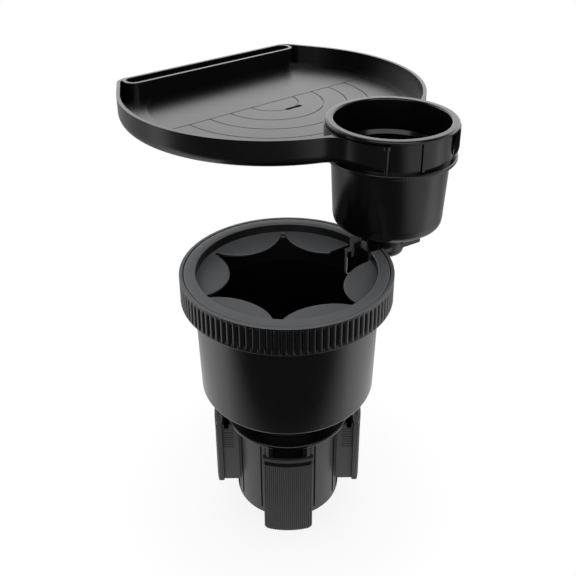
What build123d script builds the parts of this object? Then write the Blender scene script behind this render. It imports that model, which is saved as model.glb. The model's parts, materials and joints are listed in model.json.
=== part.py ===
from build123d import *
import math
import os

os.makedirs("parts", exist_ok=True)

# Running and sliding clearances
slide_gap = 0.3
shaft_gap = 0.08
seat_gap = 0.1
lift_gap = 0.3
thread_gap = 0.05
collar_gap = 0.4

# Base: hub, cover and the four feet
hub_radius = 32.2
hub_foot_radius = 30.4
hub_taper_height = 2.2
hub_height = 60.5
hub_floor = 4.2
hub_line_offset = 2.2
hub_line_width = 0.7
hub_line_depth = 0.5
foot_count = 4
side_foot_raise = 7.5
tongue_width = 22.0
tongue_inner = 22.5
tongue_under_plate = 0.6
foot_travel_in = 9.6
head_thickness = 2.05
head_width = 24.0
head_clearance = 0.5
pad_thickness = 3.0
pad_width = 28.6
pad_corner = 3.0
pad_top_corner = 1.2
pad_groove_depth = 0.35
pad_rib_count = 24
lip_height = 5.0
foot_wall = 2.0
recess_wall = 1.7
recess_depth = 9.0
recess_inner = 36.0
side_line_count = 8
side_line_pitch = 1.9
side_line_width = 0.6
side_line_depth = 0.3
side_line_drop = 3.0
finger_inner = 18.5
finger_width = 10.0
finger_height = 8.4
pin_circle = 22.0
pin_radius = 2.4
pin_recess = 0.5
cover_radius = 38.0
cover_thickness = 2.6
cover_edge = 0.8

# Scroll plate and spindle
plate_radius = 28.0
plate_drop = 0.5
plate_thickness = 4.5
plate_rim_gap = 0.5
scroll_rise = 0.1
turn_in = 95.0
turn_out = 20.0
slot_end_margin = 1.2
spindle_radius = 11.9
key_side = 11.0
spindle_washer_radius = 8.0
spindle_washer_thickness = 1.1
spindle_head_radius = 5.0
spindle_head_height = 2.8
spindle_thread = 2.0
spindle_thread_length = 15.0

# Lower cup
neck_radius = 30.0
neck_wall = 2.5
neck_core = 13.5
neck_height = 20.6
cup_bottom_radius = 51.0
cup_edge = 1.8
cup_top_radius = 52.6
cup_wall_height = 60.5
cup_wall = 2.5
cup_floor = 3.0
cup_floor_blend = 6.0

# Grip ring and petal insert
ring_radius = 60.3
ring_height = 16.5
ridge_count = 120
ridge_depth = 1.0
ridge_margin = 0.8
lip_inner = 58.8
lip_gap = 0.25
flange_thickness = 3.3
insert_bore = 51.2
insert_wall = 2.4
insert_edge = 0.4
insert_depth = 10.3
petal_count = 6
petal_first = 64.0
petal_step = 57.0
petal_tip = 32.4
petal_arc = 28.5
petal_web = 45.0
petal_thickness = 1.6
petal_depth = 3.6
petal_droop = 1.4
notch_width = 24.5
notch_depth = 27.0
notch_inner = 40.0

# Arm between the cups
arm_angle = 31.3
arm_reach = 70.1
leg_width = 14.0
leg_thickness = 5.4
leg_length = 56.0
saddle_gap = 0.1
saddle_drop = 14.5
beam_drop = 4.0
beam_thickness = 6.5
boss_radius = 11.0
boss_edge = 3.0
arm_drop = 2.9
arm_plate_thickness = 2.6
arm_plate_width = 21.0
arm_plate_start = 61.5
arm_plate_end = 88.6
arm_screw_drops = (36.0, 50.0)
arm_screw_radius = 1.5
arm_screw_head = 3.0
arm_screw_length = 7.0
arm_screw_head_height = 1.6

# Upper cup and its swivel
swivel_washer_thickness = 1.0
spigot_radius = 5.0
spigot_length = 6.5
pedestal_radius = 11.0
pedestal_height = 12.6
upper_bottom_radius = 32.2
upper_top_radius = 34.2
upper_edge = 6.0
upper_floor = 2.8
upper_body_height = 42.0
upper_band_radius = 35.4
upper_wall = 2.2
ledge_radius = 38.2
ledge_thickness = 2.5
band_height = 17.3
rim_radius = 37.9
rim_height = 2.4
stop_angle = -68.5
stop_width = 1.6
stop_height = 1.0
swivel_thread = 1.5
swivel_thread_length = 11.8
swivel_head_radius = 4.0
swivel_head_height = 2.3
keeper_radius = 7.2
keeper_thickness = 1.3

# Tray
tray_direction = 134.4
tray_distance = 98.0
tray_turn = -4.9
tray_radius = 98.5
tray_chord = 74.2
tray_shoulder = 60.4
tray_corner = 11.0
tray_wall = 2.2
tray_floor = 2.2
tray_edge = 6.0
tray_recess = 2.5
tray_recess_inset = 9.0
tray_blend = 14.0
border_width = 12.5
border_shift = 4.0
border_rise = 1.2
slot_gap = 11.0
slot_end_wall = 1.2
slot_corner = 5.0
collar_wall = 2.7
collar_half_angle = 139.5
collar_turn = -10.0
collar_bead = 1.2
collar_nub = 1.9
collar_nub_height = 2.2
groove_radii = (17.0, 33.5, 49.0, 64.0)
groove_width = 0.7
groove_depth = 0.6
floor_slot_length = 12.7
floor_slot_width = 3.0
floor_slot_setback = 17.0
floor_slot_shift = -4.0

# Heights that follow from the sizes, counted from the bottom of the base
hub_top = hub_height
plate_top = hub_top - plate_drop
plate_bottom = plate_top - plate_thickness
tongue_top = plate_bottom - tongue_under_plate
head_top = hub_top - head_clearance
pad_top = head_top - lip_height
finger_bottom = tongue_top - finger_height
pin_top = plate_top - pin_recess
foot_bottom = hub_floor + slide_gap
cover_top = hub_top + cover_thickness
neck_bottom = cover_top + lift_gap
cup_bottom = neck_bottom + neck_height
ring_bottom = cup_bottom + cup_wall_height
ring_top = ring_bottom + ring_height
cup_top = ring_top - insert_depth
ring_seat = cup_top
flange_bottom = ring_top - flange_thickness
petal_root_top = ring_top - petal_depth
notch_bottom = ring_top - notch_depth
beam_top = ring_top - beam_drop
beam_bottom = beam_top - beam_thickness
leg_bottom = beam_top - leg_length
arm_top = ring_top - arm_drop
pedestal_bottom = arm_top + swivel_washer_thickness + lift_gap
spigot_bottom = pedestal_bottom - spigot_length
swivel_thread_top = spigot_bottom + swivel_thread_length
upper_bottom = pedestal_bottom + pedestal_height
ledge_bottom = upper_bottom + upper_body_height
ledge_top = ledge_bottom + ledge_thickness
rim_bottom = ledge_top + band_height
rim_top = rim_bottom + rim_height
tray_bottom = ledge_top + lift_gap
tray_top = rim_bottom - lift_gap
spindle_thread_top = plate_bottom + spindle_thread_length

# Places and radii that follow from the sizes
arm_x = arm_reach * math.cos(math.radians(arm_angle))
arm_y = arm_reach * math.sin(math.radians(arm_angle))
collar_bore = upper_band_radius + collar_gap
collar_outer = collar_bore + collar_wall


def rounded_face(corners):
    """Flat face from (u, v, radius) corners, each corner rounded by its own radius."""
    edges = []
    arrivals = []
    departures = []
    count = len(corners)
    for i in range(count):
        before = Vector(corners[i - 1][0], corners[i - 1][1])
        here = Vector(corners[i][0], corners[i][1])
        after = Vector(corners[(i + 1) % count][0], corners[(i + 1) % count][1])
        radius = corners[i][2] if len(corners[i]) > 2 else 0.0
        if radius == 0.0:
            arrivals.append(here)
            departures.append(here)
            continue
        back = (before - here).normalized()
        ahead = (after - here).normalized()
        half = back.get_angle(ahead) / 2.0
        reach = radius / math.tan(math.radians(half))
        bisector = (back + ahead).normalized()
        crown = here + bisector * (radius / math.sin(math.radians(half)) - radius)
        arrivals.append(here + back * reach)
        departures.append(here + ahead * reach)
        edges.append(Edge.make_three_point_arc(arrivals[i], crown, departures[i]))
    for i in range(count):
        start = departures[i]
        finish = arrivals[(i + 1) % count]
        if (finish - start).length > 1e-6:
            edges.append(Edge.make_line(start, finish))
    return Face(Wire.combine(edges)[0])


def turned(corners):
    """Solid of revolution about Z from (radius, height, corner radius) points."""
    return Part() + revolve(Plane.XZ * rounded_face(corners), Axis.Z)


def block(x0, x1, y0, y1, z0, z1):
    """Box between two corners."""
    centre = Pos((x0 + x1) / 2, (y0 + y1) / 2, (z0 + z1) / 2)
    return centre * Box(x1 - x0, y1 - y0, z1 - z0)


def drum(radius, z0, z1):
    """Upright cylinder on the Z axis."""
    return Pos(0, 0, (z0 + z1) / 2) * Cylinder(radius, z1 - z0)


def prism(points, z0, z1):
    """Upright prism over a closed outline of (x, y) points."""
    face = Face(Wire.make_polygon([(x, y, z0) for x, y in points], close=True))
    return extrude(face, amount=z1 - z0, dir=(0, 0, 1))


# Base hub with four radial channels
channel_half = tongue_width / 2 + slide_gap
head_inner = math.sqrt(hub_radius**2 - channel_half**2) + foot_travel_in + slide_gap
head_outer = head_inner + head_thickness
pad_outer = head_outer + pad_thickness
hub = turned([
    (0, 0),
    (hub_foot_radius, 0),
    (hub_radius, hub_taper_height),
    (hub_radius, hub_top),
    (0, hub_top),
])
hub -= block(-hub_radius - 1, hub_radius + 1, -channel_half, channel_half, hub_floor, hub_top + 1)
hub -= block(-channel_half, channel_half, -hub_radius - 1, hub_radius + 1, hub_floor, hub_top + 1)
hub -= drum(plate_radius + plate_rim_gap, plate_bottom - lift_gap, hub_top + 1)
line_place = channel_half + hub_line_offset
line_reach = math.sqrt(hub_radius**2 - line_place**2) - hub_line_depth
for i in range(foot_count):
    for side in (-1, 1):
        line = block(
            line_reach,
            hub_radius + 1,
            side * line_place - hub_line_width / 2,
            side * line_place + hub_line_width / 2,
            hub_taper_height + 1.0,
            hub_top + 1,
        )
        hub -= Rot(0, 0, 360.0 / foot_count * i) * line
export_step(hub, "parts/base_hub.step")

# Base cover, the disc that closes the hub and carries the spindle
cover = turned([
    (spindle_radius + shaft_gap, hub_top),
    (cover_radius, hub_top, cover_edge),
    (cover_radius, cover_top, cover_edge),
    (spindle_radius + shaft_gap, cover_top),
])
export_step(cover, "parts/base_cover.step")

# Feet, drawn pointing along X
half_tongue = tongue_width / 2
half_head = head_width / 2
half_pad = pad_width / 2


def foot_slider(bottom):
    """Hollow slider with its lip, drive finger and pin, and fine level lines on both sides."""
    slider = block(tongue_inner, head_inner, -half_tongue, half_tongue, bottom, tongue_top)
    head = block(head_inner, pad_outer, -half_head, half_head, bottom, head_top)
    slider += head & drum(head_outer, 0, hub_top)
    lip = block(head_inner, pad_outer + 1, -half_pad, half_pad, pad_top, head_top)
    slider += lip & drum(pad_outer, 0, hub_top)
    slider -= block(
        tongue_inner + 2 * foot_wall,
        head_outer - foot_wall,
        -half_tongue + foot_wall,
        half_tongue - foot_wall,
        bottom + 2 * foot_wall,
        head_top + 1,
    )
    inside = half_pad - recess_wall
    recess = block(recess_inner, pad_outer + 1, -inside, inside, head_top - recess_depth, head_top + 1)
    slider -= recess & drum(head_outer - recess_wall, 0, hub_top + 1)
    lip_inside = block(head_inner, pad_outer + 1, -inside, inside, pad_top + recess_wall, head_top + 1)
    slider -= lip_inside & drum(pad_outer - recess_wall, 0, hub_top + 1)
    half_finger = finger_width / 2
    finger_outer = tongue_inner + foot_wall / 2
    slider += block(finger_inner, finger_outer, -half_finger, half_finger, finger_bottom, tongue_top)
    slider += Pos(pin_circle, 0, 0) * drum(pin_radius, tongue_top - 1.0, pin_top)
    for i in range(side_line_count):
        line_top = tongue_top - side_line_drop - i * side_line_pitch
        line_bottom = line_top - side_line_width
        for side in (-1, 1):
            low = side * half_tongue - side_line_depth
            high = side * half_tongue + side_line_depth
            slider -= block(hub_radius + 1.0, head_inner, low, high, line_bottom, line_top)
    return slider


def foot_pad(bottom):
    """Ribbed rubber pad on the outer face of a foot."""
    rib_step = 2 * math.degrees(math.asin(half_pad / pad_outer)) / pad_rib_count
    rib_start = -rib_step * pad_rib_count / 2
    points = []
    for i in range(pad_rib_count):
        for share, depth in ((0.0, 1.0), (0.22, 0.0), (0.78, 0.0)):
            angle = math.radians(rib_start + (i + share) * rib_step)
            radius = pad_outer - depth * pad_groove_depth
            points.append((radius * math.cos(angle), radius * math.sin(angle)))
    angle = math.radians(-rib_start)
    points.append(((pad_outer - pad_groove_depth) * math.cos(angle), half_pad - seat_gap))
    points.append((head_inner, half_pad - seat_gap))
    points.append((head_inner, -half_pad + seat_gap))
    pad = prism(points, bottom, pad_top)
    pad -= drum(head_outer, 0, hub_top)
    front = rounded_face([
        (-half_pad, bottom, pad_corner),
        (half_pad, bottom, pad_corner),
        (half_pad, pad_top, pad_top_corner),
        (-half_pad, pad_top, pad_top_corner),
    ])
    return pad & extrude(Plane.YZ * front, amount=2 * pad_outer, dir=(1, 0, 0))


foot_names = ("right", "back", "left", "front")
for i in range(foot_count):
    turn = Rot(0, 0, 360.0 / foot_count * i)
    bottom = foot_bottom + (side_foot_raise if i % 2 == 0 else 0.0)
    export_step(turn * foot_slider(bottom), f"parts/foot_slider_{foot_names[i]}.step")
    export_step(turn * foot_pad(bottom), f"parts/foot_pad_{foot_names[i]}.step")


def scroll_slot(foot_angle):
    """Slot along an even spiral: the pin circle shrinks in step with the turn."""
    half = pin_radius + slide_gap
    first = -turn_out - slot_end_margin
    last = turn_in + slot_end_margin
    inner = []
    outer = []
    steps = 16
    ends = []
    for i in range(steps + 1):
        sweep = first + (last - first) * i / steps
        radius = pin_circle - scroll_rise * sweep
        angle = math.radians(foot_angle + sweep)
        slope = -scroll_rise * 180.0 / math.pi
        along = Vector(
            slope * math.cos(angle) - radius * math.sin(angle),
            slope * math.sin(angle) + radius * math.cos(angle),
        ).normalized()
        across = Vector(-along.Y, along.X)
        centre = Vector(radius * math.cos(angle), radius * math.sin(angle))
        inner.append(centre + across * half)
        outer.append(centre - across * half)
        if i == 0:
            ends.append(centre - along * half)
        if i == steps:
            ends.append(centre + along * half)
    wire = Wire.combine([
        Edge.make_spline(inner),
        Edge.make_three_point_arc(inner[-1], ends[1], outer[-1]),
        Edge.make_spline(outer),
        Edge.make_three_point_arc(outer[0], ends[0], inner[0]),
    ])[0]
    face = Pos(0, 0, plate_bottom - 1) * Face(wire)
    return extrude(face, amount=plate_thickness + 2, dir=(0, 0, 1))


# Scroll plate that drives the feet
half_key = key_side / 2
scroll = drum(plate_radius, plate_bottom, plate_top)
for i in range(foot_count):
    scroll -= scroll_slot(360.0 / foot_count * i)
key_hole = half_key + seat_gap
scroll -= block(-key_hole, key_hole, -key_hole, key_hole, plate_bottom - 1, plate_top + 1)
export_step(scroll, "parts/scroll_plate.step")

# Washer and screw under the scroll plate
washer_bottom = plate_bottom - spindle_washer_thickness
washer = drum(spindle_washer_radius, washer_bottom, plate_bottom)
washer -= drum(spindle_thread + seat_gap, washer_bottom - 1, plate_bottom + 1)
export_step(washer, "parts/spindle_washer.step")
head_bottom = washer_bottom - spindle_head_height
screw = turned([
    (0, head_bottom),
    (spindle_head_radius, head_bottom, 1.2),
    (spindle_head_radius, washer_bottom),
    (spindle_thread, washer_bottom),
    (spindle_thread, spindle_thread_top),
    (0, spindle_thread_top),
])
screw -= block(-3.0, 3.0, -0.5, 0.5, head_bottom - 1, head_bottom + 1.2)
screw -= block(-0.5, 0.5, -3.0, 3.0, head_bottom - 1, head_bottom + 1.2)
export_step(screw, "parts/spindle_screw.step")

# Opening shared by ring, insert and lower cup, where the arm comes through
arm_turn = Rot(0, 0, arm_angle)
half_notch = notch_width / 2
notch = arm_turn * block(notch_inner, ring_radius + 5, -half_notch, half_notch, notch_bottom, ring_top + 5)

# Lower cup with its neck and spindle
cup_inner_bottom = cup_bottom_radius - cup_wall
cup_inner_top = cup_top_radius - cup_wall
lower = turned([
    (0, plate_top),
    (spindle_radius, plate_top),
    (spindle_radius, neck_bottom),
    (neck_core, neck_bottom),
    (neck_core, cup_bottom - neck_wall),
    (neck_radius - neck_wall, cup_bottom - neck_wall),
    (neck_radius - neck_wall, neck_bottom),
    (neck_radius, neck_bottom),
    (neck_radius, cup_bottom),
    (cup_bottom_radius, cup_bottom, cup_edge),
    (cup_top_radius, ring_bottom),
    (cup_top_radius, cup_top),
    (cup_inner_top, cup_top),
    (cup_inner_bottom, cup_bottom + cup_floor, cup_floor_blend),
    (0, cup_bottom + cup_floor),
])
lower += block(-half_key, half_key, -half_key, half_key, plate_bottom, plate_top + 1)
lower -= drum(spindle_thread + thread_gap, plate_bottom - 1, spindle_thread_top + 1)
lower -= notch
for drop in arm_screw_drops:
    height = ring_top - drop
    hole = Pos(cup_top_radius - 2, 0, height) * Rot(0, 90, 0) * Cylinder(arm_screw_radius + 0.2, 12)
    lower -= arm_turn * hole
export_step(lower, "parts/lower_cup.step")

# Grip ring with rounded ridges all round
ridge_points = []
for i in range(ridge_count):
    for share, height in ((0.0, 0.0), (0.2, 0.75), (0.4, 1.0), (0.6, 1.0), (0.8, 0.75)):
        angle = 2 * math.pi * (i + share) / ridge_count
        radius = ring_radius - ridge_depth * (1.0 - height)
        ridge_points.append((radius * math.cos(angle), radius * math.sin(angle)))
ring = prism(ridge_points, ring_bottom + ridge_margin, ring_top - ridge_margin)
ring += drum(ring_radius - ridge_depth, ring_bottom, ring_top)
ring -= turned([
    (0, ring_bottom - 1),
    (cup_top_radius + seat_gap, ring_bottom - 1),
    (cup_top_radius + seat_gap, ring_seat),
    (insert_bore + insert_wall + seat_gap, ring_seat),
    (insert_bore + insert_wall + seat_gap, flange_bottom),
    (lip_inner, flange_bottom),
    (lip_inner, ring_top + 1),
    (0, ring_top + 1),
])
ring -= notch
export_step(ring, "parts/grip_ring.step")

# Soft insert: flange, short wall and six drooping petals
insert = turned([
    (insert_bore, ring_seat),
    (insert_bore + insert_wall, ring_seat),
    (insert_bore + insert_wall, flange_bottom),
    (lip_inner - lip_gap, flange_bottom),
    (lip_inner - lip_gap, ring_top, insert_edge),
    (insert_bore, ring_top, insert_edge),
])
petal_plate = turned([
    (petal_tip - 1, petal_root_top - petal_thickness - petal_droop),
    (insert_bore + seat_gap, petal_root_top - petal_thickness),
    (insert_bore + seat_gap, petal_root_top),
    (petal_tip - 1, petal_root_top - petal_droop),
])
lobes = drum(insert_bore + 1, petal_root_top - petal_depth, ring_top)
lobes -= drum(petal_web, petal_root_top - petal_depth - 1, ring_top + 1)
lobe = Pos(petal_tip + petal_arc, 0, 0) * drum(petal_arc, petal_root_top - petal_depth, ring_top)
for i in range(petal_count):
    lobes += Rot(0, 0, petal_first + petal_step * i) * lobe
insert += petal_plate & lobes
insert -= arm_turn * block(
    notch_inner, ring_radius + 5, -half_notch, half_notch, notch_bottom, ring_top + 5
)
export_step(insert, "parts/petal_insert.step")

# Arm, drawn pointing along X: leg on the cup wall, beam, boss and flat plate
cup_shell = turned([
    (0, cup_bottom),
    (cup_bottom_radius, cup_bottom),
    (cup_top_radius, ring_bottom),
    (cup_top_radius, ring_top + 10),
    (0, ring_top + 10),
])
leg_outer = cup_top_radius + leg_thickness
half_leg = leg_width / 2
half_saddle = half_notch - saddle_gap
arm = block(notch_inner, leg_outer, -half_leg, half_leg, leg_bottom, beam_top)
saddle_top = ring_top - saddle_drop
arm += block(notch_inner, leg_outer, -half_saddle, half_saddle, notch_bottom + saddle_gap, saddle_top)
arm -= cup_shell
arm += block(leg_outer - leg_thickness / 2, arm_reach, -half_leg, half_leg, beam_bottom, beam_top)
boss = turned([
    (0, beam_bottom),
    (boss_radius, beam_bottom, boss_edge),
    (boss_radius, arm_top),
    (0, arm_top),
])
arm += Pos(arm_reach, 0, 0) * boss
half_plate = arm_plate_width / 2
arm += block(
    arm_plate_start, arm_plate_end, -half_plate, half_plate, arm_top - arm_plate_thickness, arm_top
)
keeper_top = spigot_bottom
bore_bottom = keeper_top + lift_gap
arm -= Pos(arm_reach, 0, 0) * drum(spigot_radius + shaft_gap, beam_bottom - 1, arm_top + 1)
arm -= Pos(arm_reach, 0, 0) * drum(keeper_radius + collar_gap, beam_bottom - 1, bore_bottom)
for drop in arm_screw_drops:
    bore = Rot(0, 90, 0) * Cylinder(arm_screw_radius + thread_gap, 9.0)
    arm -= Pos(cup_top_radius, 0, ring_top - drop) * bore
export_step(arm_turn * arm, "parts/swivel_arm.step")

# Two screws that hold the leg to the cup wall, heads inside the cup
arm_screws = Part()
for drop in arm_screw_drops:
    height = ring_top - drop
    rise = (height - cup_bottom) / (ring_bottom - cup_bottom)
    wall = cup_inner_bottom + rise * (cup_inner_top - cup_inner_bottom) - 0.25
    fastener = turned([
        (0, -arm_screw_head_height),
        (arm_screw_head, -arm_screw_head_height, 0.8),
        (arm_screw_head, 0),
        (arm_screw_radius, 0),
        (arm_screw_radius, arm_screw_length),
        (0, arm_screw_length),
    ])
    slot_depth = -arm_screw_head_height + 0.8
    fastener -= block(-2.0, 2.0, -0.35, 0.35, -arm_screw_head_height - 1, slot_depth)
    fastener -= block(-0.35, 0.35, -2.0, 2.0, -arm_screw_head_height - 1, slot_depth)
    arm_screws += arm_turn * Pos(wall, 0, height) * Rot(0, 90, 0) * fastener
export_step(arm_screws, "parts/arm_screws.step")

# Upper cup with ledge, rolled rim, pedestal and swivel spigot
upper_place = Pos(arm_x, arm_y, 0)
upper = turned([
    (0, spigot_bottom),
    (spigot_radius, spigot_bottom),
    (spigot_radius, pedestal_bottom),
    (pedestal_radius, pedestal_bottom),
    (pedestal_radius, upper_bottom),
    (upper_bottom_radius, upper_bottom, upper_edge),
    (upper_top_radius, ledge_bottom),
    (ledge_radius, ledge_bottom, 0.6),
    (ledge_radius, ledge_top, 0.6),
    (upper_band_radius, ledge_top),
    (upper_band_radius, rim_bottom),
    (rim_radius, rim_bottom, 0.6),
    (rim_radius, rim_top, 1.2),
    (upper_band_radius - upper_wall, rim_top, 1.0),
    (upper_band_radius - upper_wall, ledge_top),
    (upper_top_radius - upper_wall, ledge_bottom),
    (upper_bottom_radius - upper_wall, upper_bottom + upper_floor, upper_edge),
    (0, upper_bottom + upper_floor),
])
stop = block(
    upper_band_radius - 1,
    upper_band_radius + stop_height,
    -stop_width / 2,
    stop_width / 2,
    ledge_top,
    rim_bottom,
)
upper += Rot(0, 0, stop_angle) * stop
upper -= drum(swivel_thread + thread_gap, spigot_bottom - 1, swivel_thread_top + 1)
export_step(upper_place * upper, "parts/upper_cup.step")

# Swivel hardware under the upper cup
swivel_washer = drum(pedestal_radius, arm_top, arm_top + swivel_washer_thickness)
swivel_washer -= drum(spigot_radius + collar_gap, arm_top - 1, arm_top + 2)
swivel_half = Pos(arm_reach, 0, 0) * swivel_washer
export_step(arm_turn * swivel_half, "parts/swivel_washer.step")
keeper_bottom = keeper_top - keeper_thickness
keeper = drum(keeper_radius, keeper_bottom, keeper_top)
keeper -= drum(swivel_thread + seat_gap, keeper_bottom - 1, keeper_top + 1)
export_step(upper_place * keeper, "parts/keeper_washer.step")
swivel_head = keeper_bottom - swivel_head_height
swivel_screw = turned([
    (0, swivel_head),
    (swivel_head_radius, swivel_head, 1.0),
    (swivel_head_radius, keeper_bottom),
    (swivel_thread, keeper_bottom),
    (swivel_thread, swivel_thread_top),
    (0, swivel_thread_top),
])
swivel_screw -= block(-2.5, 2.5, -0.45, 0.45, swivel_head - 1, swivel_head + 1.0)
swivel_screw -= block(-0.45, 0.45, -2.5, 2.5, swivel_head - 1, swivel_head + 1.0)
export_step(upper_place * swivel_screw, "parts/swivel_screw.step")

# Tray, drawn about its own centre with X pointing to its straight back edge
collar_x = -tray_distance * math.cos(math.radians(tray_turn))
collar_y = tray_distance * math.sin(math.radians(tray_turn))
cup_spot = Pos(collar_x, collar_y)


def corner_width(radius, chord):
    """Half the straight back edge, out to where the shoulders would meet it."""
    turn = math.radians(tray_shoulder)
    return (radius - chord * math.cos(turn)) / math.sin(turn)


def tray_outline(radius, chord, corner):
    """Disc with a straight back edge, straight shoulders that touch the disc, and rounded corners."""
    turn = math.radians(tray_shoulder)
    touch_x = radius * math.cos(turn)
    touch_y = radius * math.sin(turn)
    half = corner_width(radius, chord)
    round_side = ThreePointArc((touch_x, -touch_y), (-radius, 0), (touch_x, touch_y))
    shoulders = Polyline((touch_x, touch_y), (chord, half), (chord, -half), (touch_x, -touch_y))
    outline = make_face(Curve() + [round_side, shoulders])
    corners = outline.vertices().filter_by(lambda v: v.X > chord - 1e-3)
    return fillet(corners, corner)


def upright(sketch, z0, z1):
    """Prism over a flat sketch between two heights."""
    return extrude(Pos(0, 0, z0) * sketch, amount=z1 - z0, dir=(0, 0, 1))


plan = tray_outline(tray_radius, tray_chord, tray_corner) + cup_spot * Circle(collar_outer)
joins = plan.vertices().filter_by(lambda v: v.X < -tray_distance / 2)
plan = fillet(joins, tray_blend)
body = upright(plan, tray_bottom, tray_top)
bottom_edges = body.edges().filter_by(lambda e: abs(e.center().Z - tray_bottom) < 1e-4)
body = fillet(bottom_edges, tray_edge)

inner_plan = tray_outline(tray_radius - tray_wall, tray_chord - tray_wall, tray_corner - tray_wall)
inner_plan -= cup_spot * Circle(collar_outer)
inner_joins = inner_plan.vertices().filter_by(lambda v: v.X < -tray_distance / 2)
inner_plan = fillet(inner_joins, 4.0)
slot_mid = tray_chord - tray_wall - slot_gap / 2
slot_half_length = corner_width(tray_radius, tray_chord) - slot_end_wall - tray_wall
slot_wall_plan = Pos(slot_mid, 0) * RectangleRounded(
    slot_gap + 2 * tray_wall, 2 * (slot_half_length + tray_wall), slot_corner + tray_wall
)
slot_plan = Pos(slot_mid, 0) * RectangleRounded(slot_gap, 2 * slot_half_length, slot_corner)
main_plan = inner_plan - slot_wall_plan
recess_top = tray_bottom + tray_recess
floor_top = recess_top + tray_floor
raised_top = floor_top + border_rise
inner_circle = Pos(0, -border_shift) * Circle(tray_radius - tray_wall - border_width)
body -= upright(main_plan, raised_top, tray_top + 1)
body -= upright(main_plan & inner_circle, floor_top, tray_top + 1)
body -= upright(slot_plan, floor_top, tray_top + 1)
recess_chord = tray_chord - tray_recess_inset
recess_plan = tray_outline(tray_radius - tray_recess_inset, recess_chord, tray_corner)
recess_plan -= cup_spot * Circle(collar_outer + tray_recess_inset)
body -= upright(recess_plan, tray_bottom - 1, recess_top)

# Floor grooves: a divider across the middle and half rings on the cup side
rings = Sketch()
for radius in groove_radii:
    rings += Circle(radius + groove_width / 2) - Circle(radius - groove_width / 2)
rings = rings & (Pos(-tray_radius, 0) * Rectangle(2 * tray_radius, 2 * tray_radius))
divider_length = 2 * (tray_radius - tray_wall - border_width)
grooves = (rings + Rectangle(groove_width, divider_length)) & inner_circle
grooves -= cup_spot * Circle(collar_outer + 1.0)
body -= upright(grooves, floor_top - groove_depth, floor_top + 0.5)
floor_slot = Pos(-floor_slot_setback, floor_slot_shift) * Rectangle(floor_slot_width, floor_slot_length)
body -= upright(floor_slot, tray_bottom - 1, floor_top + 1)

# Split collar that clips round the upper cup
gap_half = 180.0 - collar_half_angle
reach = 3 * collar_outer
wedge_points = [
    (0, 0),
    (-reach, -reach * math.tan(math.radians(gap_half))),
    (-reach, reach * math.tan(math.radians(gap_half))),
]
opening = prism(wedge_points, tray_bottom - 1, tray_top + 1)
collar_place = Pos(collar_x, collar_y, 0)
body -= collar_place * Rot(0, 0, collar_turn) * opening
end = math.radians(collar_half_angle + collar_turn)
bead_circle = collar_bore + collar_bead
spot = Pos(bead_circle * math.cos(end), bead_circle * math.sin(end), 0)
body += collar_place * spot * drum(collar_bead, tray_bottom, tray_top)
nub_circle = collar_bore + collar_nub
nub_spot = Pos(nub_circle * math.cos(end), nub_circle * math.sin(end), 0)
body += collar_place * nub_spot * drum(collar_nub, tray_top - collar_nub_height, tray_top)
body -= collar_place * drum(collar_bore, tray_bottom - 1, tray_top + 1)
tray_spot = upper_place * Rot(0, 0, tray_direction + tray_turn) * Pos(-collar_x, -collar_y, 0)
export_step(tray_spot * body, "parts/tray.step")
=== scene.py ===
import json
import math

import bpy
import numpy as np
from mathutils import Matrix, Vector


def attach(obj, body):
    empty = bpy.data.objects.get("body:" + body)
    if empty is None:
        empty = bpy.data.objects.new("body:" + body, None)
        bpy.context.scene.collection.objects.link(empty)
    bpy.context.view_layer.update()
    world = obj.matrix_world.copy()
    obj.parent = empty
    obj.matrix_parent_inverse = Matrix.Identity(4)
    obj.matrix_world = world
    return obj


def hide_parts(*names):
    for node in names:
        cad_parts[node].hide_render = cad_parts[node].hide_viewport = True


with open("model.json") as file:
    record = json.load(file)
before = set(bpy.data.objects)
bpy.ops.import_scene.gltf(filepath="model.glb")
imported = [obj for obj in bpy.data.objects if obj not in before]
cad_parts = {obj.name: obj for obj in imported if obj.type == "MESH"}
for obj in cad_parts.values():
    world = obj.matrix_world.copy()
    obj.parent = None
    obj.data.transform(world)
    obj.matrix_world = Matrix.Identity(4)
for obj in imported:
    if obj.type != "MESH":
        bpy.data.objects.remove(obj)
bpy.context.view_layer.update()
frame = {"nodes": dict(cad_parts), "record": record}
MM = 0.001
SIDES = ("right", "back", "left", "front")

# Sizes in millimetres, radii from the lower cup's axis and heights from the floor
# Arm, and the opening for it in the ring and the insert
ARM_ANGLE, ARM_REACH = 31.3, 70.1
NOTCH_RIGHT, NOTCH_LEFT = 12.25, 9.25
# Grip ring
RING_RADIUS, RING_BOTTOM, RING_TOP = 60.28, 144.5, 161.0
LOW_ROUND, HIGH_ROUND, RIM_EDGE = 0.6, 0.4, 0.3
RIDGES, RIDGE_DEPTH, RIDGE_POWER = 102, 1.3, 0.4
GROOVE_END, GROOVE_RAMP, GROOVE_INSET = 1.1, 0.5, 3.0
SEAT_HEIGHT, CUP_OUTER, SEAT_GAP = 150.7, 52.7, 0.1
RING_COLUMNS, RING_SMOOTH = 2041, 50.0
# Soft insert
INSERT_BORE, INSERT_WALL = 51.2, 2.4
LIP_INNER, FLANGE_BOTTOM, FLANGE_GAP = 58.3, 157.7, 0.5
LIP_ROUND, BORE_ROUND = 0.5, 0.6
SLEEVE_INNER, SLEEVE_OUTER, SLEEVE_BOTTOM, SLEEVE_DROP = 47.9, 49.6, 137.0, 1.0
INSERT_COLUMNS, INSERT_SMOOTH, BLACK_REACH, UPRIGHT = 361, 40.0, 0.5, 0.3
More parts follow.
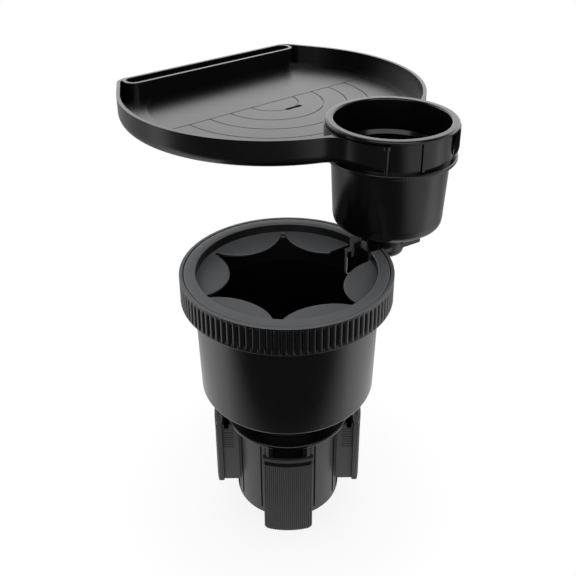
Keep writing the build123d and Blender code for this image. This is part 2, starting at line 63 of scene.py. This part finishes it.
# Petals, with angles in degrees
PETALS, PETAL_FIRST, PETAL_STEP = 6, 64.0, 57.0
PETAL_TIP, PETAL_ARC, PETAL_WEB, PETAL_ROOT = 32.4, 28.5, 49.0, 0.3
PETAL_TOP, PETAL_THICKNESS, PETAL_DROOP, DROOP_POWER = 155.6, 1.6, 1.2, 1.4
SHEET_COLUMNS, SHEET_STEPS, ROUND_STEPS, ROUND_END = 901, 15, 5, 60.0
LEAN_FADE, LEAN_TRIES = 4.0, 20
# Painted shade strips in the seams on the hub and above the pads
HUB_RADIUS, SEAM_PLACE, SEAM_WIDTH = 32.2, 16.0, 0.9
SEAM_SUNK, SEAM_PROUD, SEAM_BOTTOM, SEAM_TOP = 0.3, 0.25, 6.0, 60.0
PAD_FACE, PAD_HALF, PAD_SEAM_COLUMNS = 45.1, 13.4, 17
PAD_SEAM_SUNK, PAD_SEAM_PROUD, PAD_SEAM_BOTTOM, PAD_SEAM_TOP = 0.4, 0.12, 55.1, 57.6
# Lower edge of the upper cup, with radii from that cup's axis
EDGE_RADIUS, EDGE_BOTTOM, EDGE_TOP, EDGE_ROUND = 32.25, 171.95, 178.4, 4.0
CORNER_RADIUS, CORNER_HEIGHT, CORNER_ROUND, CORNER_END = 26.48, 178.0, 6.02, 2
WALL_SLOPE, EDGE_OVERLAP, EDGE_COLUMNS = 0.0476, 0.2, 144
# Plate beside the arm, measured along and across the arm
WEB_IN, WEB_OUT, WEB_RIGHT, WEB_LEFT = 60.6, 61.4, 7.05, 16.0
WEB_BOTTOM, WEB_TOP = 149.0, 158.0


def srgb(code):
    """Linear RGBA of an sRGB hex colour: a straight line up to 0.04045 and a power of 2.4 above it."""
    parts = [int(code[i:i + 2], 16) / 255 for i in (1, 3, 5)]
    return [c / 12.92 if c <= 0.04045 else ((c + 0.055) / 1.055) ** 2.4 for c in parts] + [1.0]


def add(tree, kind, links=None, **settings):
    """Adds a shader node. Settings go to its properties, or else to its sockets, and links to its sockets."""
    node = tree.nodes.new(kind)
    for name, value in settings.items():
        if hasattr(node, name):
            setattr(node, name, value)
        else:
            node.inputs[name.replace("_", " ")].default_value = value
    for socket, source in (links or {}).items():
        tree.links.new(source, node.inputs[socket])
    return node


def empty_tree(owner):
    """The node tree of a material or world, with nothing in it."""
    owner.use_nodes = True
    owner.node_tree.nodes.clear()
    return owner.node_tree


def put_in_scene(name, data):
    """An object at the origin for a mesh, a lamp or a camera."""
    thing = bpy.data.objects.new(name, data)
    bpy.context.scene.collection.objects.link(thing)
    return thing


DRIFT_SIZE, DRIFT_ROUGHNESS, GRAIN_STRENGTH = 40.0, 0.03, 0.35


def finish_material(name, colour, worn, roughness, ior, grain, grain_depth, metal=0.0):
    """A moulded finish: a fine grain raised as a bump, roughness and tint that drift over centimetres.

    The grain's width and depth are in millimetres. A real grain is too fine to show here, so that this one
    is drawn coarser."""
    material = bpy.data.materials.new(name)
    tree = empty_tree(material)
    place = add(tree, "ShaderNodeTexCoord").outputs["Object"]
    specks = add(tree, "ShaderNodeTexNoise", {"Vector": place}, Scale=1 / (grain * MM), Detail=2.0)
    drift = add(tree, "ShaderNodeTexNoise", {"Vector": place}, Scale=1 / (DRIFT_SIZE * MM), Detail=2.0)
    share = drift.outputs["Fac"]
    smooth, dull = roughness - DRIFT_ROUGHNESS, roughness + DRIFT_ROUGHNESS
    rough = add(tree, "ShaderNodeMapRange", {"Value": share}, To_Min=smooth, To_Max=dull)
    tint = add(tree, "ShaderNodeMix", {"Factor": share}, data_type="RGBA")
    tint.inputs[6].default_value = srgb(colour)
    tint.inputs[7].default_value = srgb(worn)
    height = {"Height": specks.outputs["Fac"]}
    bump = add(tree, "ShaderNodeBump", height, Strength=GRAIN_STRENGTH, Distance=grain_depth * MM)
    looks = {"Base Color": tint.outputs[2], "Roughness": rough.outputs[0], "Normal": bump.outputs["Normal"]}
    shader = add(tree, "ShaderNodeBsdfPrincipled", looks, IOR=ior, Metallic=metal)
    add(tree, "ShaderNodeOutputMaterial", {"Surface": shader.outputs["BSDF"]})
    return material


# Black ABS, injection moulded in a satin tool: soft highlights with a faint grain
abs_black = finish_material("abs_black_satin_moulded", "#09090b", "#0e0e10", 0.26, 1.54, 0.7, 0.012)
# The same ABS from a finer polished tool on the cup walls: clearer bands of light
abs_smooth = finish_material("abs_black_smooth_moulded", "#08080a", "#0c0c0e", 0.2, 1.54, 0.7, 0.006)
# The same ABS from a spark eroded tool on the base: grey and dull
abs_dull = finish_material("abs_black_textured_moulded", "#28282a", "#2e2e30", 0.42, 1.54, 0.8, 0.02)
# Thermoplastic elastomer, moulded matte: greyer, with wide dull highlights. Also laid on the black ring's top
# rim as painted light
tpe_grey_and_rim_light = finish_material("tpe_dark_grey_moulded_and_painted_rim_light", "#6a6b6d", "#707173", 0.5, 1.5, 0.6, 0.02)
# The same elastomer, a little smoother, made black on the upright faces inside its wall: painted shade
tpe_painted_shade = finish_material("tpe_black_painted_shade", "#08080a", "#0c0c0e", 0.4, 1.5, 0.6, 0.01)
# Nitrile rubber pads, moulded with ribs: dull dark grey
rubber_black = finish_material("nitrile_rubber_ribbed", "#363638", "#3c3c3d", 0.6, 1.52, 0.6, 0.03)
# Painted shade: thin, quite dull black strips laid in the seams of the base, where the gaps lie in shade
seam_painted_shade = finish_material("black_strip_painted_seam_shade", "#050506", "#08080a", 0.9, 1.25, 0.6, 0.01)
# Zinc plated steel screws and washers: grey metal with soft highlights
zinc_steel = finish_material("steel_zinc_plated", "#9a9b9d", "#b4b5b6", 0.35, 1.5, 0.5, 0.01, metal=1.0)

FINISHES = {
    "moulded_plastic": abs_black,
    "soft_insert": tpe_grey_and_rim_light,
    "pad_rubber": rubber_black,
    "plated_steel": zinc_steel,
}
OWN_FINISHES = {"lower_cup": abs_smooth, "upper_cup": abs_smooth, "base_hub": abs_dull}
OWN_FINISHES.update({f"foot_slider_{side}": abs_dull for side in SIDES})
for part in frame["record"]["subparts"]:
    node = frame["nodes"][part["node"]]
    node.data.materials.clear()
    node.data.materials.append(OWN_FINISHES.get(part["node"], FINISHES[part["material_slot"]]))


def surface(name, points, faces, material, body, smooth_angle=35.0):
    """A piece from an (n, 3) array in millimetres and its faces, smooth below an edge angle in degrees."""
    mesh = bpy.data.meshes.new(name)
    mesh.from_pydata((points * MM).tolist(), [], faces)
    mesh.materials.append(material)
    mesh.validate()
    piece = put_in_scene(name, mesh)
    mesh.polygons.foreach_set("use_smooth", np.ones(len(mesh.polygons), bool))
    mesh.set_sharp_from_angle(angle=math.radians(smooth_angle))
    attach(piece, body)
    return piece


def face_values(piece, field, width):
    """A field of a piece's faces, such as centres in millimetres or normals, as a row for each face."""
    values = np.empty(len(piece.data.polygons) * width, np.float32)
    piece.data.polygons.foreach_get(field, values)
    return values.reshape(-1, width) / (MM if field == "center" else 1.0)


def second_finish(piece, material, chosen):
    """Gives a second material to the faces of a piece that a true or false array chooses."""
    piece.data.materials.append(material)
    piece.data.polygons.foreach_set("material_index", chosen.astype(np.int32))


def swept_faces(columns, rows, ring=False, start=0):
    """Faces of a closed outline of some rows that is repeated in columns: quads between neighbours.

    Where the columns don't close to a ring, each end has one face with all the outline's points. Points are
    counted from start."""
    column = np.arange(columns if ring else columns - 1)[:, None]
    row = np.arange(rows)[None, :]
    here, after = start + column * rows, start + (column + 1) % columns * rows
    above = (row + 1) % rows
    quads = np.stack([here + row, after + row, after + above, here + above], -1).reshape(-1, 4).tolist()
    first = start + np.arange(rows)
    last = first[::-1] + (columns - 1) * rows
    return quads if ring else quads + [first.tolist(), last.tolist()]


def turned(radius, height, angle, centre=(0.0, 0.0)):
    """Points at a radius, height and angle about an upright axis, column by column as an (n, 3) array."""
    x, y = centre[0] + radius * np.cos(angle), centre[1] + radius * np.sin(angle)
    return np.stack([x, y, height + np.zeros_like(x)], -1).reshape(-1, 3)


def notched_turning(profile, columns, relief=None):
    """A closed (radius, height) profile carried round the axis, from side to side of the arm's opening.

    The opening has parallel sides: at radius r each has the angle asin(distance / r) from the arm's middle.
    The other angle is shared evenly between the columns. relief adds to the radius as a function of angle."""
    radius, height = profile.T[:, None, :]
    first, last = np.arcsin(NOTCH_LEFT / radius), 2 * math.pi - np.arcsin(NOTCH_RIGHT / radius)
    share = np.linspace(0, 1, columns)[:, None]
    angle = math.radians(ARM_ANGLE) + first + share * (last - first)
    if relief is not None:
        radius = radius + relief(angle)
    return turned(radius, height, angle), swept_faces(columns, len(profile))


def corner_arc(centre, radius, start, stop, count):
    """Points at even steps on an arc, between two angles in degrees."""
    angle = np.radians(np.linspace(start, stop, count))
    return np.stack([centre[0] + radius * np.cos(angle), centre[1] + radius * np.sin(angle)], 1)


def box_corners(x, y, z):
    """Corners of a box between two values along each axis, counted by x, then y, then z."""
    return np.stack(np.meshgrid(x, y, z, indexing="ij"), -1).reshape(-1, 3)


# Corners of each side of such a box
BOX_SIDES = np.array([[0, 1, 3, 2], [4, 6, 7, 5], [0, 4, 5, 1], [2, 3, 7, 6], [0, 2, 6, 4], [1, 5, 7, 3]])


def make_grip_ring():
    """Grip band with smooth rims, a profile turned round the axis with narrow grooves in its wall.

    At an angle p a groove is RIDGE_DEPTH times 1 - |cos(RIDGES p / 2)|^RIDGE_POWER deep."""
    outer_low = corner_arc((RING_RADIUS - LOW_ROUND, RING_BOTTOM + LOW_ROUND), LOW_ROUND, -90, 0, 5)
    outer_high = corner_arc((RING_RADIUS - HIGH_ROUND, RING_TOP - HIGH_ROUND), HIGH_ROUND, 0, 90, 5)
    low, high = RING_BOTTOM + GROOVE_END, RING_TOP - GROOVE_END
    middle = np.linspace(low + GROOVE_INSET, high - GROOVE_INSET, 3)
    grooved = [low + GROOVE_RAMP, *middle, high - GROOVE_RAMP]
    wall = np.array([[RING_RADIUS, height] for height in (low, *grooved, high)])
    bore = INSERT_BORE + INSERT_WALL + SEAT_GAP
    inner = np.array([
        [LIP_INNER, RING_TOP],
        [LIP_INNER, FLANGE_BOTTOM],
        [bore, FLANGE_BOTTOM],
        [bore, SEAT_HEIGHT],
        [CUP_OUTER, SEAT_HEIGHT],
        [CUP_OUTER, RING_BOTTOM],
    ])
    profile = np.concatenate([outer_low, wall, outer_high, inner])
    in_groove = np.zeros(len(profile))
    first_grooved = len(outer_low) + 1
    in_groove[first_grooved:first_grooved + len(grooved)] = 1.0

    def groove(angle):
        wave = np.abs(np.cos(angle * RIDGES / 2))
        return -RIDGE_DEPTH * in_groove[None, :] * (1 - wave ** RIDGE_POWER)

    points, faces = notched_turning(profile, RING_COLUMNS, groove)
    ring = surface("grip_ring_ridged", points, faces, abs_black, "lower_body", RING_SMOOTH)
    # Painted light: the black ring's top rim takes the grey elastomer finish, so that it reads as lit; its
    # cut ends take that finish too
    cut_end = face_values(ring, "loop_total", 1)[:, 0] > 4
    painted_light_rim = face_values(ring, "center", 3)[:, 2] > RING_TOP - RIM_EDGE
    second_finish(ring, tpe_grey_and_rim_light, cut_end | painted_light_rim)
    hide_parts("grip_ring")


def petal_edge(angle):
    """Radius of the insert's inner edge: circles of radius PETAL_ARC reach in to PETAL_TIP, joined by a web.

    At angle p from a lobe's middle its circle lies at c cos p - sqrt(PETAL_ARC^2 - (c sin p)^2), with c the
    distance of the circle's centre from the axis."""
    centre = PETAL_TIP + PETAL_ARC
    edge = np.full_like(angle, PETAL_WEB)
    for petal in range(PETALS):
        p = angle - math.radians(PETAL_FIRST + PETAL_STEP * petal)
        inside = np.clip(PETAL_ARC ** 2 - (centre * np.sin(p)) ** 2, 0, None)
        lobe = np.where((inside > 0) & (np.cos(p) > 0), centre * np.cos(p) - np.sqrt(inside), PETAL_WEB)
        edge = np.minimum(edge, lobe)
    return edge


def petal_columns(root):
    """Angles at which the petal sheet's columns start, at the radius of its root, and end, at its inner edge.

    They are radial. Near the arm's opening they lean, until the last lies along its side. The lean fades with
    exp(-angle / LEAN_FADE). The last end is found by trying the edge's radius at the angle found before."""
    middle = math.radians(ARM_ANGLE)
    first, last = math.asin(NOTCH_LEFT / root), 2 * math.pi - math.asin(NOTCH_RIGHT / root)
    start = middle + np.linspace(first, last, SHEET_COLUMNS)
    lean = np.zeros(SHEET_COLUMNS)
    for sign, side, distance in ((1, NOTCH_LEFT, start - start[0]), (-1, NOTCH_RIGHT, start[-1] - start)):
        at_root = middle + sign * math.asin(side / root)
        at_edge = at_root
        for _ in range(LEAN_TRIES):
            at_edge = middle + sign * math.asin(side / float(petal_edge(np.array([at_edge]))[0]))
        lean += (at_edge - at_root) * np.exp(-distance / math.radians(LEAN_FADE))
    return start, start + lean


def petal_sheet():
    """Thin sheet with drooping lobes: each column is an outline, in along its top, round and back below.

    The drop grows with the power DROOP_POWER of the way inwards. The array is columns by rows by 3."""
    root = INSERT_BORE + PETAL_ROOT
    start, stop = petal_columns(root)
    edge = petal_edge(stop)
    outer = np.stack([root * np.cos(start), root * np.sin(start)], -1)
    inner = np.stack([edge * np.cos(stop), edge * np.sin(stop)], -1)
    way = inner - outer
    way /= np.linalg.norm(way, axis=1)[:, None]
    half = PETAL_THICKNESS / 2
    inner = inner - way * half
    inwards, level = np.linspace(0, 1, SHEET_STEPS), np.full(SHEET_STEPS, 90.0)
    share = np.concatenate([inwards, np.ones(ROUND_STEPS), inwards[::-1]])
    tilt = np.radians(np.concatenate([level, np.linspace(ROUND_END, -ROUND_END, ROUND_STEPS), -level]))
    flat = outer[:, None, :] + (inner - outer)[:, None, :] * share[None, :, None]
    flat = flat + way[:, None, :] * (half * np.cos(tilt))[None, :, None]
    reach = np.clip((root - np.linalg.norm(flat, axis=-1)) / (root - PETAL_TIP), 0, None)
    height = PETAL_TOP - half - PETAL_DROOP * reach ** DROOP_POWER + half * np.sin(tilt)[None, :]
    return np.concatenate([flat, height[..., None]], -1)


def make_petal_insert():
    """Soft insert: flange, wall and sleeve as one profile turned round the axis, and the petal sheet."""
    wall, lip = INSERT_BORE + INSERT_WALL, LIP_INNER - FLANGE_GAP
    underside = PETAL_TOP - PETAL_THICKNESS
    profile = np.concatenate([
        [[SLEEVE_INNER, SLEEVE_BOTTOM], [SLEEVE_OUTER, SLEEVE_BOTTOM], [SLEEVE_OUTER, SEAT_HEIGHT]],
        [[wall, SEAT_HEIGHT], [wall, FLANGE_BOTTOM], [lip, FLANGE_BOTTOM]],
        corner_arc((lip - LIP_ROUND, RING_TOP - LIP_ROUND), LIP_ROUND, 0, 90, 4),
        corner_arc((INSERT_BORE + BORE_ROUND, RING_TOP - BORE_ROUND), BORE_ROUND, 90, 180, 5),
        [[INSERT_BORE, underside], [SLEEVE_INNER, underside - SLEEVE_DROP]],
    ])
    points, faces = notched_turning(profile, INSERT_COLUMNS)
    sheet = petal_sheet()
    faces += swept_faces(*sheet.shape[:2], start=len(points))
    points = np.concatenate([points, sheet.reshape(-1, 3)])
    insert = surface("petal_insert_soft", points, faces, tpe_grey_and_rim_light, "lower_body", INSERT_SMOOTH)
    # Painted shade: the upright faces near the bore, which lie in shade, are made black; the rest stays grey
    inside = np.linalg.norm(face_values(insert, "center", 3)[:, :2], axis=1) < INSERT_BORE + BLACK_REACH
    upright = np.abs(face_values(insert, "normal", 3)[:, 2]) < UPRIGHT
    second_finish(insert, tpe_painted_shade, inside & upright)
    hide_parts("petal_insert")


def make_hub_seams():
    """Painted shade of the seams up the hub, one each side of every foot: thin dark bars half sunk in its
    round wall.

    A bar at distance d from a foot's middle plane stands at sqrt(HUB_RADIUS^2 - d^2) out from the axis."""
    out = math.sqrt(HUB_RADIUS ** 2 - SEAM_PLACE ** 2)
    half = SEAM_WIDTH / 2
    points, faces = [], []
    for quarter in range(len(SIDES)):
        turn = np.array(Matrix.Rotation(quarter * math.pi / 2, 3, "Z"))
        for place in (SEAM_PLACE, -SEAM_PLACE):
            depth, width = [out - SEAM_SUNK, out + SEAM_PROUD], [place - half, place + half]
            bar = box_corners(depth, width, [SEAM_BOTTOM, SEAM_TOP])
            faces += (BOX_SIDES + len(bar) * len(points)).tolist()
            points.append(bar @ turn.T)
    surface("hub_seam_shade_lines", np.concatenate(points), faces, seam_painted_shade, "base")


def make_pad_seams():
    """Painted shade of the seam above every pad: a dark outline carried across the foot's round face by even
    steps of angle.
    """
    reach = math.asin(PAD_HALF / PAD_FACE)
    inner, outer = PAD_FACE - PAD_SEAM_SUNK, PAD_FACE + PAD_SEAM_PROUD
    radius = np.array([inner, outer, outer, inner])
    height = np.array([PAD_SEAM_BOTTOM, PAD_SEAM_BOTTOM, PAD_SEAM_TOP, PAD_SEAM_TOP])
    across = np.linspace(-reach, reach, PAD_SEAM_COLUMNS)[:, None]
    faces = swept_faces(PAD_SEAM_COLUMNS, len(radius))
    for quarter, side in enumerate(SIDES):
        points = turned(radius, height, quarter * math.pi / 2 + across)
        surface(f"pad_seam_{side}", points, faces, seam_painted_shade, f"foot_{side}")


def make_cup_edge():
    """Lower edge of the upper cup, a closed profile turned about that cup's axis.

    Its inside is the quarter circle of the cup's wide corner. Its outside runs along the floor, round a
    smaller quarter circle and up the wall, so that it fills the space between the two."""
    wide = corner_arc((CORNER_RADIUS, CORNER_HEIGHT), CORNER_ROUND, CORNER_END, -90, 14)
    floor_end = [[CORNER_RADIUS - EDGE_OVERLAP, EDGE_BOTTOM]]
    small = corner_arc((EDGE_RADIUS - EDGE_ROUND, EDGE_BOTTOM + EDGE_ROUND), EDGE_ROUND, -90, 0, 7)
    wall_end = [[EDGE_RADIUS + WALL_SLOPE * (EDGE_TOP - EDGE_BOTTOM), EDGE_TOP]]
    radius, height = np.concatenate([wide, floor_end, small, wall_end]).T
    arm = math.radians(ARM_ANGLE)
    axis = (ARM_REACH * math.cos(arm), ARM_REACH * math.sin(arm))
    angle = np.linspace(0, 2 * math.pi, EDGE_COLUMNS, endpoint=False)[:, None]
    points, faces = turned(radius, height, angle, axis), swept_faces(EDGE_COLUMNS, len(radius), ring=True)
    surface("upper_cup_edge", points, faces, abs_smooth, "upper_body")


def make_arm_web():
    """Thin upright plate at the arm's left side, behind the ring: a box along and across the arm."""
    corners = box_corners([WEB_IN, WEB_OUT], [WEB_RIGHT, WEB_LEFT], [WEB_BOTTOM, WEB_TOP])
    turn = np.array(Matrix.Rotation(math.radians(ARM_ANGLE), 3, "Z"))
    surface("arm_side_web", corners @ turn.T, BOX_SIDES.tolist(), abs_black, "lower_body")


make_grip_ring()
make_petal_insert()
make_hub_seams()
make_pad_seams()
make_cup_edge()
make_arm_web()

# Camera at the photograph's place in millimetres, above and in front of the tray, turned by degrees
CAMERA_PLACE = (-0.834, -376.449, 386.722)
CAMERA_PITCH, CAMERA_YAW, CAMERA_ROLL = 26.068, 0.261, -0.265
FOCAL_PIXELS, FRAME_PIXELS, AXIS_ROW = 777.98, 576, 200
lens = bpy.data.cameras.new("camera")
lens.sensor_width = 36.0
lens.lens = FOCAL_PIXELS * lens.sensor_width / FRAME_PIXELS
lens.shift_y = (AXIS_ROW - FRAME_PIXELS / 2) / FRAME_PIXELS
lens.clip_start, lens.clip_end = 0.01, 50.0
camera = put_in_scene("camera", lens)
camera.location = [c * MM for c in CAMERA_PLACE]
aim = Matrix.Identity(3)
for degrees, axis in ((-CAMERA_YAW, "Z"), (90 - CAMERA_PITCH, "X"), (CAMERA_ROLL, "Z")):
    aim = aim @ Matrix.Rotation(math.radians(degrees), 3, axis)
camera.rotation_euler = aim.to_euler()
bpy.context.scene.camera = camera


def softbox(name, place, target, width, height, watts):
    """A rectangular lamp that faces a point, in metres, and isn't seen itself."""
    light = bpy.data.lights.new(name, "AREA")
    light.shape = "RECTANGLE"
    light.size, light.size_y, light.energy = width, height, watts
    lamp = put_in_scene(name, light)
    lamp.location = place
    lamp.rotation_euler = (Vector(target) - Vector(place)).to_track_quat("-Z", "Y").to_euler()
    lamp.visible_camera = False


# A wide panel low behind the object, one at each side of it and one above the camera
softbox("back_panel", (0.0, 0.80, 0.42), (0.0, 0.05, 0.18), 1.3, 0.7, 2.6)
softbox("left_panel", (-0.70, 0.50, 0.35), (0.0, 0.03, 0.12), 0.5, 0.6, 0.9)
softbox("right_panel", (0.70, 0.50, 0.35), (0.0, 0.03, 0.12), 0.5, 0.6, 1.1)
softbox("front_panel", (0.0, -1.1, 0.85), (0.0, 0.05, 0.15), 2.2, 1.3, 12.0)

# Pale floor, plain white past the object and with its soft shadow near the base. In reflections it glows as a
# painted
# reflection: dim in front of the object, as with a dark card there, brighter to the right and dimmer again
# behind.
# Places are in metres
FLOOR_HALF, FLOOR_HEIGHT = 4.0, -0.0005
DIM_FRONT, LIT_FRONT, FRONT_SHARE = -0.13, -0.045, 0.05
DIM_RIGHT, LIT_RIGHT, RIGHT_SHARE = 0.15, 0.33, 0.7
LIT_BACK, DIM_BACK, BACK_SHARE = 0.02, 0.2, 0.4
SHADOW_INNER, SHADOW_OUTER, SHADOW_SHARE = 0.03, 0.11, 0.15
WHITE = srgb("#ffffff")
floor_mesh = bpy.data.meshes.new("floor")
floor_signs = ((-1, -1), (1, -1), (1, 1), (-1, 1))
floor_corners = [(x * FLOOR_HALF, y * FLOOR_HALF, FLOOR_HEIGHT) for x, y in floor_signs]
floor_mesh.from_pydata(floor_corners, [], [(0, 1, 2, 3)])
floor = put_in_scene("floor", floor_mesh)
paper = bpy.data.materials.new("paper_white_backdrop")
tree = empty_tree(paper)
ray = add(tree, "ShaderNodeLightPath").outputs
place = add(tree, "ShaderNodeTexCoord").outputs["Object"]
spot = add(tree, "ShaderNodeSeparateXYZ", {0: place}).outputs
front_range = {"From_Min": DIM_FRONT, "From_Max": LIT_FRONT, "To_Min": FRONT_SHARE, "To_Max": 1.0}
front = add(tree, "ShaderNodeMapRange", {"Value": spot["Y"]}, **front_range).outputs[0]
right_range = {"From_Min": DIM_RIGHT, "From_Max": LIT_RIGHT, "To_Min": 0.0, "To_Max": RIGHT_SHARE}
right = add(tree, "ShaderNodeMapRange", {"Value": spot["X"]}, **right_range).outputs[0]
back_range = {"From_Min": LIT_BACK, "From_Max": DIM_BACK, "To_Min": 1.0, "To_Max": BACK_SHARE}
back = add(tree, "ShaderNodeMapRange", {"Value": spot["Y"]}, **back_range).outputs[0]
reflection_glow = add(tree, "ShaderNodeMath", {0: front, 1: right}, operation="MAXIMUM").outputs[0]
reflection_glow = add(tree, "ShaderNodeMath", {0: reflection_glow, 1: back}, operation="MULTIPLY").outputs[0]
mirrored = add(tree, "ShaderNodeEmission", {"Strength": reflection_glow}, Color=WHITE).outputs[0]
matte = add(tree, "ShaderNodeBsdfDiffuse", Color=srgb("#f4f4f4")).outputs[0]
glow = add(tree, "ShaderNodeEmission", Color=WHITE, Strength=1.0).outputs[0]
distance = add(tree, "ShaderNodeVectorMath", {0: place}, operation="LENGTH").outputs["Value"]
near_range = {"From_Min": SHADOW_INNER, "From_Max": SHADOW_OUTER, "To_Min": SHADOW_SHARE, "To_Max": 0.0}
near = add(tree, "ShaderNodeMapRange", {"Value": distance}, **near_range).outputs[0]
seen = add(tree, "ShaderNodeMixShader", {0: near, 1: glow, 2: matte}).outputs[0]
lit = add(tree, "ShaderNodeMixShader", {0: ray["Is Glossy Ray"], 1: matte, 2: mirrored}).outputs[0]
both = add(tree, "ShaderNodeMixShader", {0: ray["Is Camera Ray"], 1: lit, 2: seen}).outputs[0]
add(tree, "ShaderNodeOutputMaterial", {"Surface": both})
floor_mesh.materials.append(paper)

# White sweep behind the object that fades to a dim room in front, by the direction's part along Y
ROOM_FRONT, ROOM_BACK, ROOM_SHARE = -0.2, 0.5, 0.04
world = bpy.data.worlds.new("studio")
bpy.context.scene.world = world
tree = empty_tree(world)
ray = add(tree, "ShaderNodeLightPath").outputs
direction = add(tree, "ShaderNodeTexCoord").outputs["Generated"]
side = add(tree, "ShaderNodeSeparateXYZ", {0: direction}).outputs
fade_range = {"From_Min": ROOM_FRONT, "From_Max": ROOM_BACK, "To_Min": ROOM_SHARE, "To_Max": 1.0}
fade = add(tree, "ShaderNodeMapRange", {"Value": side["Y"]}, **fade_range).outputs[0]
room = add(tree, "ShaderNodeBackground", {"Strength": fade}, Color=srgb("#f4f5f6")).outputs[0]
seen = add(tree, "ShaderNodeBackground", Color=WHITE, Strength=1.0).outputs[0]
both = add(tree, "ShaderNodeMixShader", {0: ray["Is Camera Ray"], 1: room, 2: seen}).outputs[0]
add(tree, "ShaderNodeOutputWorld", {"Surface": both})

bpy.context.scene.view_settings.view_transform = "Standard"
